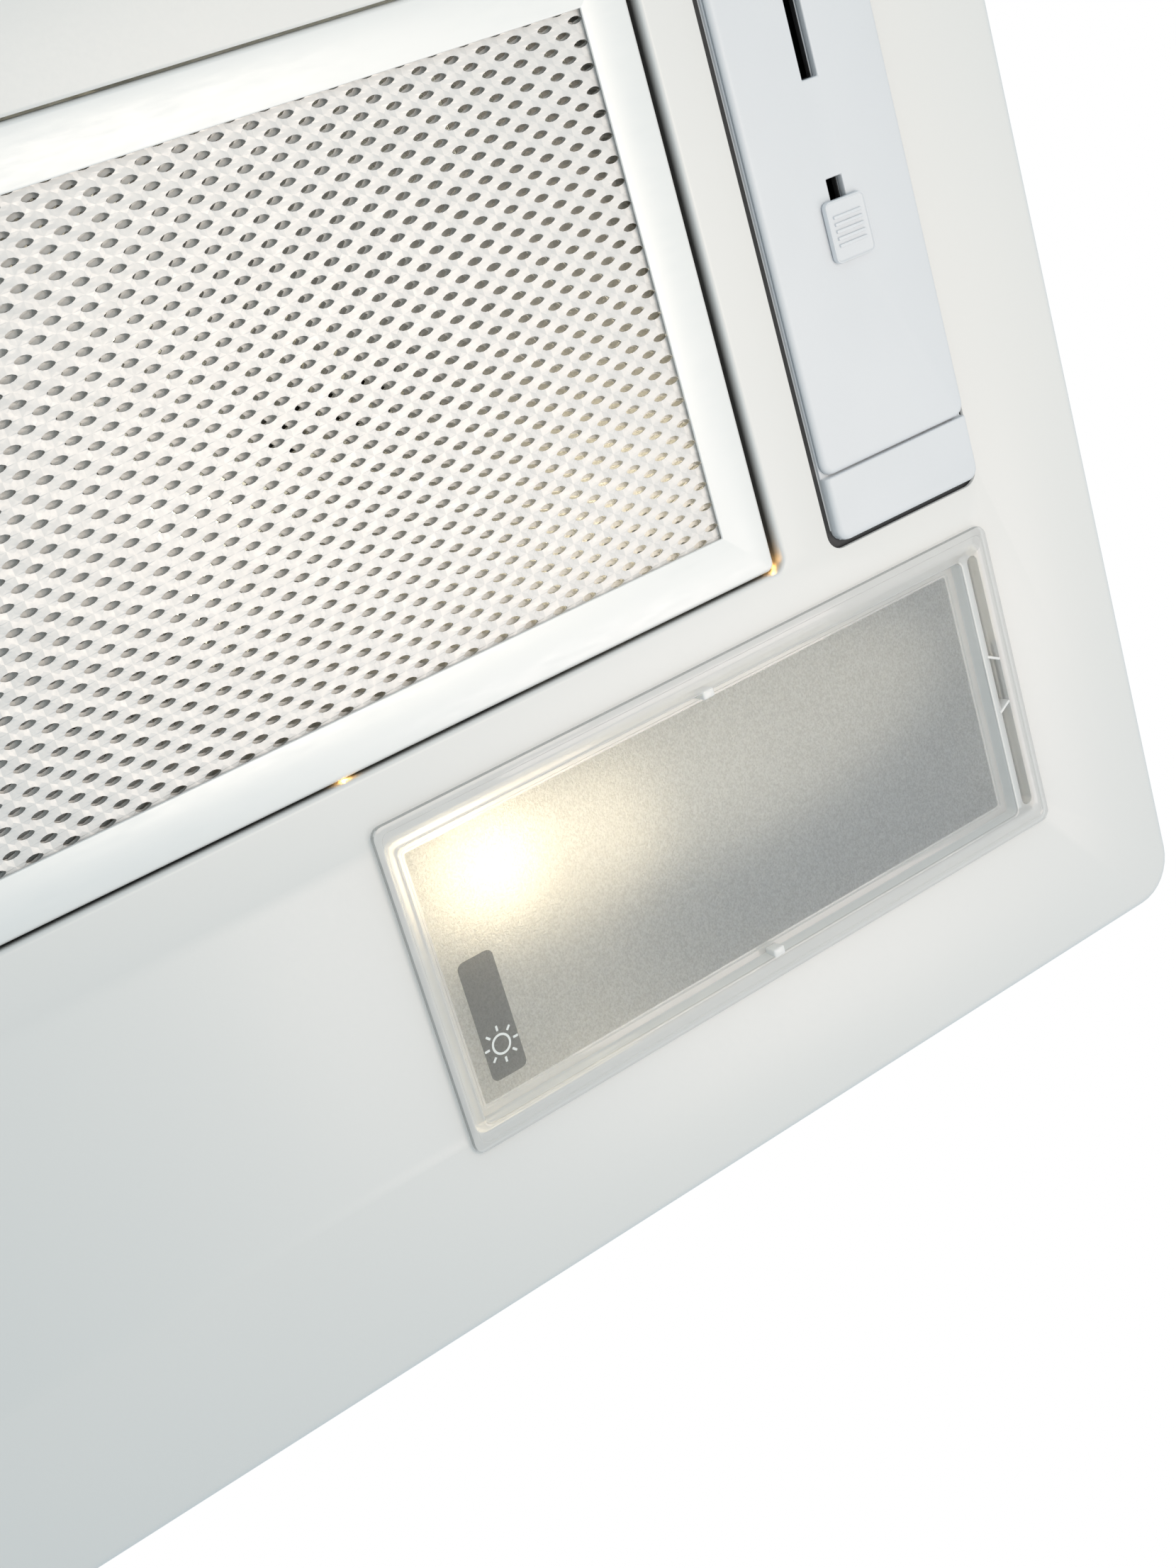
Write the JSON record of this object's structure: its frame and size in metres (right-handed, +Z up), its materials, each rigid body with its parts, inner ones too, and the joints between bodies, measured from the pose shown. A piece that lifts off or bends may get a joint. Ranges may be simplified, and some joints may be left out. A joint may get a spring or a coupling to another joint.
{
  "type": "under cabinet range hood",
  "caption": "Slim built-in extractor hood: folded white base tray, drop-down mesh filter, lamp covers, slider controls, blower casing and round duct outlet.",
  "frame": {"origin": "centre of the bounding box in plan, at the lowest face (the tips of the two slider knobs)", "axes": "+X is the hood's right, +Y its rear (wall side), +Z up"},
  "size_m": [0.6, 0.3, 0.239],
  "materials": {
    "painted_steel": "satin white paint on pressed steel sheet",
    "galvanised_steel": "zinc-coated sheet, dull",
    "aluminium": "mill finish, lightly brushed",
    "control_plastic": "fine satin, cool light grey",
    "clear_plastic": "clear moulding with a frosted, stippled window",
    "lamp_glass": "soft white lamp glass",
    "ceramic": "glazed, off-white",
    "black_plastic": "fine matt moulding",
    "grey_plastic": "matt moulding",
    "rubber": "soft, matt",
    "bright_steel": "bright plated",
    "cable_sheath": "smooth sheath"
  },
  "bodies": {
    "hood": {"base_panel": "painted_steel", "casing_shell": "galvanised_steel", "top_plate": "galvanised_steel", "side_bracket_left": "galvanised_steel", "side_bracket_right": "galvanised_steel", "lamp_housing_left": "galvanised_steel", "lamp_housing_right": "galvanised_steel", "motor_bracket": "galvanised_steel", "control_housing": "control_plastic", "control_plate": "control_plastic", "bulb_left": "lamp_glass", "bulb_right": "lamp_glass", "lampholder_left": "ceramic", "lampholder_right": "ceramic", "capacitor": "ceramic", "terminal_block": "ceramic", "outlet_collar": "black_plastic", "terminal_box": "black_plastic", "terminal_cover": "black_plastic", "cable_gland": "black_plastic", "speed_switch": "black_plastic", "light_switch": "black_plastic", "scroll_half_left": "grey_plastic", "scroll_half_right": "grey_plastic", "motor_grommet_1": "rubber", "motor_grommet_2": "rubber", "motor_grommet_3": "rubber", "motor_body": "bright_steel", "damper_pin": "bright_steel", "capacitor_nut": "bright_steel", "bracket_screw_left": "bright_steel", "bracket_screw_right": "bright_steel", "top_screw_1": "bright_steel", "top_screw_2": "bright_steel", "top_screw_3": "bright_steel", "top_screw_4": "bright_steel", "collar_screw_1": "bright_steel", "collar_screw_2": "bright_steel", "collar_screw_3": "bright_steel", "collar_screw_4": "bright_steel", "lamp_lead_left": "cable_sheath", "lamp_lead_right": "cable_sheath", "motor_lead": "cable_sheath", "control_lead": "cable_sheath"},
    "filter": {"filter_frame": "aluminium", "filter_front_mesh": "aluminium", "filter_core": "aluminium", "filter_back_mesh": "aluminium", "latch_cup": "control_plastic", "latch_spring": "bright_steel"},
    "latch": {"filter_latch": "control_plastic"},
    "lens_right": {"lens_cover_right": "clear_plastic"},
    "lens_left": {"lens_cover_left": "clear_plastic"},
    "fan": {"impeller": "black_plastic", "motor_shaft": "bright_steel"},
    "flap_front": {"damper_flap_front": "aluminium"},
    "flap_rear": {"damper_flap_rear": "aluminium"},
    "speed_control": {"speed_knob": "control_plastic"},
    "light_control": {"light_knob": "control_plastic"}
  },
  "joints": [
    {"name": "filter_tilt", "type": "hinge", "parent": "hood", "child": "filter", "pos_m": [0, 0.0207, 0.0056], "axis": [1, 0, 0], "range_deg": [0, 90]},
    {"name": "latch_slide", "type": "slide", "parent": "filter", "child": "latch", "axis": [0, 1, 0], "range_m": [0, 0.006], "stiffness_N_per_m": 300, "deforming": ["latch_spring"]},
    {"name": "lens_right_tilt", "type": "hinge", "parent": "hood", "child": "lens_right", "pos_m": [0.0812, 0.0719, 0.0037], "axis": [0, 1, 0], "range_deg": [0, 70]},
    {"name": "lens_left_tilt", "type": "hinge", "parent": "hood", "child": "lens_left", "pos_m": [-0.0812, 0.0719, 0.0037], "axis": [0, -1, 0], "range_deg": [0, 70]},
    {"name": "fan_spin", "type": "hinge", "parent": "hood", "child": "fan", "pos_m": [0, -0.01, 0.116], "axis": [1, 0, 0], "continuous": true},
    {"name": "flap_front_swing", "type": "hinge", "parent": "hood", "child": "flap_front", "pos_m": [0, 0.04, 0.2156], "axis": [-1, 0, 0], "range_deg": [0, 75]},
    {"name": "flap_rear_swing", "type": "hinge", "parent": "hood", "child": "flap_rear", "pos_m": [0, 0.04, 0.2156], "axis": [1, 0, 0], "range_deg": [0, 75]},
    {"name": "speed_slide", "type": "slide", "parent": "hood", "child": "speed_control", "axis": [0, 1, 0], "range_m": [0, 0.0225]},
    {"name": "light_slide", "type": "slide", "parent": "hood", "child": "light_control", "axis": [0, 1, 0], "range_m": [-0.007, 0]}
  ]
}
